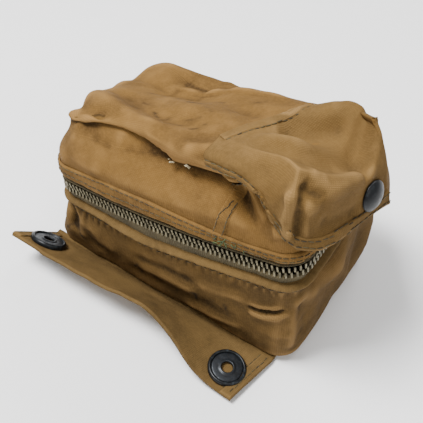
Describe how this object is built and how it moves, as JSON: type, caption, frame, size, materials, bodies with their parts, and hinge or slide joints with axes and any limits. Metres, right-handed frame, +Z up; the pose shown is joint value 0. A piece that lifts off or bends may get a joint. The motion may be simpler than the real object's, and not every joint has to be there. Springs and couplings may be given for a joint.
{
  "type": "zippered canvas mail pouch",
  "caption": "Boxed canvas pouch with a metal zip round three sides, a press-stud flange on its bottom front edge and a boxed hood over one end.",
  "frame": {"origin": "centre of the base, on the surface it stands on", "axes": "+X along the front from left to right, +Y from the front to the back, +Z up"},
  "size_m": [0.147, 0.105, 0.116],
  "materials": {
    "canvas": "worn cotton canvas",
    "base_canvas": "worn cotton canvas",
    "zip_tape": "woven cotton tape",
    "zip_metal": "aged nickel over brass",
    "black_oxide": "worn black enamel",
    "slate_steel": "dull steel"
  },
  "bodies": {
    "lower_half": {"base_panel": "base_canvas", "front_lower_panel": "canvas", "right_end_lower_panel": "canvas", "back_lower_panel": "canvas", "left_end_lower_panel": "canvas", "lower_teeth_row": "zip_metal", "lower_zip_tape": "zip_tape", "lower_welt": "canvas", "lower_top_stop": "zip_metal", "bottom_stop": "zip_metal"},
    "upper_half": {"back_upper_panel": "canvas", "felled_seam_strip": "canvas", "front_upper_left_panel": "canvas", "front_upper_right_panel": "canvas", "left_end_upper_panel": "canvas", "mating_stud": "black_oxide", "mating_stud_washer": "black_oxide", "right_end_upper_panel": "canvas", "top_panel": "canvas", "upper_teeth_row": "zip_metal", "upper_top_stop": "zip_metal", "upper_zip_facing": "canvas", "upper_zip_tape": "zip_tape"},
    "hood": {"hood_back_panel": "canvas", "hood_end_hem": "canvas", "hood_end_panel": "canvas", "hood_front_hem": "canvas", "hood_front_panel": "canvas", "hood_top_panel": "canvas", "cross_seam_tape": "canvas", "snap_cap": "black_oxide", "snap_socket": "black_oxide"},
    "flange": {"flange_left_hem": "canvas", "flange_panel": "canvas", "flange_right_hem": "canvas", "left_socket_clinch_ring": "black_oxide", "left_socket_plate": "black_oxide", "left_socket_spring_plate": "slate_steel", "right_socket_clinch_ring": "black_oxide", "right_socket_plate": "black_oxide", "right_socket_spring_plate": "slate_steel"},
    "slider": {"slider_body": "zip_metal"},
    "pull": {"pull_tab": "zip_metal"}
  },
  "joints": [
    {"name": "upper_half_hinge", "type": "hinge", "parent": "lower_half", "child": "upper_half", "pos_m": [0, 0.038, 0.054], "axis": [-1, 0, 0], "range_deg": [0, 100]},
    {"name": "hood_hinge", "type": "hinge", "parent": "upper_half", "child": "hood", "pos_m": [0.0255, -0.0406, 0.10702], "axis": [-0.3071, -0.9446, 0.1161], "range_deg": [0, 120]},
    {"name": "flange_fold", "type": "hinge", "parent": "lower_half", "child": "flange", "pos_m": [0, -0.041, 0.0024], "axis": [-1, 0, 0], "range_deg": [0, 30]},
    {"name": "slider_run", "type": "slide", "parent": "lower_half", "child": "slider", "axis": [0, 1, 0], "range_m": [0, 0.022]},
    {"name": "pull_swing", "type": "hinge", "parent": "slider", "child": "pull", "pos_m": [-0.0554, -0.01, 0.0447], "axis": [0, 0, 1], "range_deg": [0, 170]}
  ]
}
